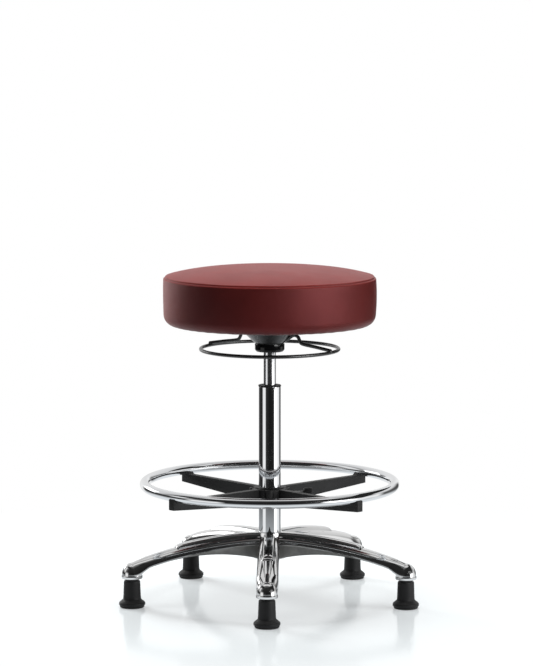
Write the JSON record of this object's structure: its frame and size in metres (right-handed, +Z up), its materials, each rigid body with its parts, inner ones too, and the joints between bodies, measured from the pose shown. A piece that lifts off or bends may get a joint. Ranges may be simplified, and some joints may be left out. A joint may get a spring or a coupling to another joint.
{
  "type": "height-adjustable stool",
  "caption": "Round padded stool on a gas lift, with a release ring under the seat, a clamped foot ring and a polished star base on bell glides.",
  "frame": {"origin": "on the floor under the middle of the bounding box; the column's axis stands at y = +0.02925 m", "axes": "+Z up along the column; -Y to the front, where one leg points straight forward; +X to the side of the clamp knob"},
  "size_m": [0.6732, 0.6457, 0.757],
  "materials": {
    "vinyl": "semi-gloss burgundy vinyl",
    "foam": "open-cell foam",
    "plywood": "raw plywood",
    "fleece": "matt non-woven",
    "chrome": "bright chrome plate",
    "polished_aluminium": "polished, as-cast on the webs",
    "steel": "bright zinc",
    "grey_steel": "satin grey paint",
    "black_steel": "satin black powder coat",
    "black_nylon": "satin black nylon",
    "black_gloss": "glossy black",
    "rubber": "matt black rubber",
    "white_nylon": "natural nylon"
  },
  "bodies": {
    "base": {"base_casting": "polished_aluminium", "column_tube": "chrome", "guide_bush": "black_nylon", "column_end_plate": "steel", "bearing_lower_race": "steel", "bearing_ball_cage": "steel", "glide_stem_front": "steel", "glide_stem_right": "steel", "glide_stem_back_right": "steel", "glide_stem_back_left": "steel", "glide_stem_left": "steel"},
    "lift_rod": {"piston_rod": "steel", "piston": "black_nylon", "lift_bumper": "rubber", "bearing_upper_race": "steel", "rod_washer": "steel", "rod_clip": "steel"},
    "seat_carrier": {"pressure_tube": "chrome", "tube_end_guide": "black_nylon", "taper_socket": "steel", "mechanism_housing": "grey_steel", "socket_collar": "black_gloss", "mounting_plate": "black_steel", "plate_screw_a": "steel", "plate_screw_b": "steel", "plate_screw_c": "steel", "plate_screw_d": "steel", "tee_nut_a": "steel", "tee_nut_b": "steel", "tee_nut_c": "steel", "tee_nut_d": "steel", "dust_cover": "fleece", "seat_board": "plywood", "seat_foam": "foam", "seat_cover": "vinyl"},
    "release_lever": {"release_ring": "black_steel", "actuator_cup": "steel"},
    "valve": {"valve_button": "white_nylon"},
    "foot_sleeve": {"column_sleeve": "black_nylon"},
    "foot_rest": {"foot_ring": "chrome", "foot_ring_hub": "black_nylon", "saddle_screw_a": "steel", "saddle_screw_b": "steel", "saddle_screw_c": "steel", "saddle_screw_d": "steel"},
    "clamp": {"clamp_knob": "black_nylon", "clamp_stud": "steel"},
    "front_glide": {"glide_front": "black_nylon", "glide_pad_front": "rubber"},
    "right_glide": {"glide_right": "black_nylon", "glide_pad_right": "rubber"},
    "back_right_glide": {"glide_back_right": "black_nylon", "glide_pad_back_right": "rubber"},
    "back_left_glide": {"glide_back_left": "black_nylon", "glide_pad_back_left": "rubber"},
    "left_glide": {"glide_left": "black_nylon", "glide_pad_left": "rubber"}
  },
  "joints": [
    {"name": "seat_swivel", "type": "hinge", "parent": "base", "child": "lift_rod", "pos_m": [0, 0.02925, 0.11], "axis": [0, 0, 1], "continuous": true},
    {"name": "seat_height", "type": "slide", "parent": "lift_rod", "child": "seat_carrier", "axis": [0, 0, 1], "range_m": [-0.065, 0.19]},
    {"name": "ring_tilt", "type": "hinge", "parent": "seat_carrier", "child": "release_lever", "pos_m": [0.0586, -0.00323, 0.6115], "axis": [-0.4848, -0.8746, 0], "range_deg": [0, 2.6], "stiffness_Nm_per_rad": 6, "springref_deg": -11.46},
    {"name": "valve_press", "type": "slide", "parent": "seat_carrier", "child": "valve", "axis": [0, 0, -1], "range_m": [0, 0.0032]},
    {"name": "foot_ring_height", "type": "slide", "parent": "base", "child": "foot_sleeve", "axis": [0, 0, 1], "range_m": [-0.055, 0.2]},
    {"name": "foot_ring_turn", "type": "hinge", "parent": "foot_sleeve", "child": "foot_rest", "pos_m": [0, 0.02925, 0.238], "axis": [0, 0, 1], "continuous": true},
    {"name": "clamp_knob_turn", "type": "hinge", "parent": "foot_rest", "child": "clamp", "pos_m": [0.087, 0.02925, 0.2452], "axis": [1, 0, 0], "range_deg": [0, 540]},
    {"name": "front_glide_swivel", "type": "hinge", "parent": "base", "child": "front_glide", "pos_m": [0, -0.29375, 0.03], "axis": [0, 0, 1], "continuous": true},
    {"name": "right_glide_swivel", "type": "hinge", "parent": "base", "child": "right_glide", "pos_m": [0.30719, -0.07056, 0.03], "axis": [0, 0, 1], "continuous": true},
    {"name": "back_right_glide_swivel", "type": "hinge", "parent": "base", "child": "back_right_glide", "pos_m": [0.18985, 0.29056, 0.03], "axis": [0, 0, 1], "continuous": true},
    {"name": "back_left_glide_swivel", "type": "hinge", "parent": "base", "child": "back_left_glide", "pos_m": [-0.18985, 0.29056, 0.03], "axis": [0, 0, 1], "continuous": true},
    {"name": "left_glide_swivel", "type": "hinge", "parent": "base", "child": "left_glide", "pos_m": [-0.30719, -0.07056, 0.03], "axis": [0, 0, 1], "continuous": true}
  ],
  "couplings": [
    {"joint": "valve_press", "follows": "ring_tilt", "m_per_rad": 0.067}
  ]
}
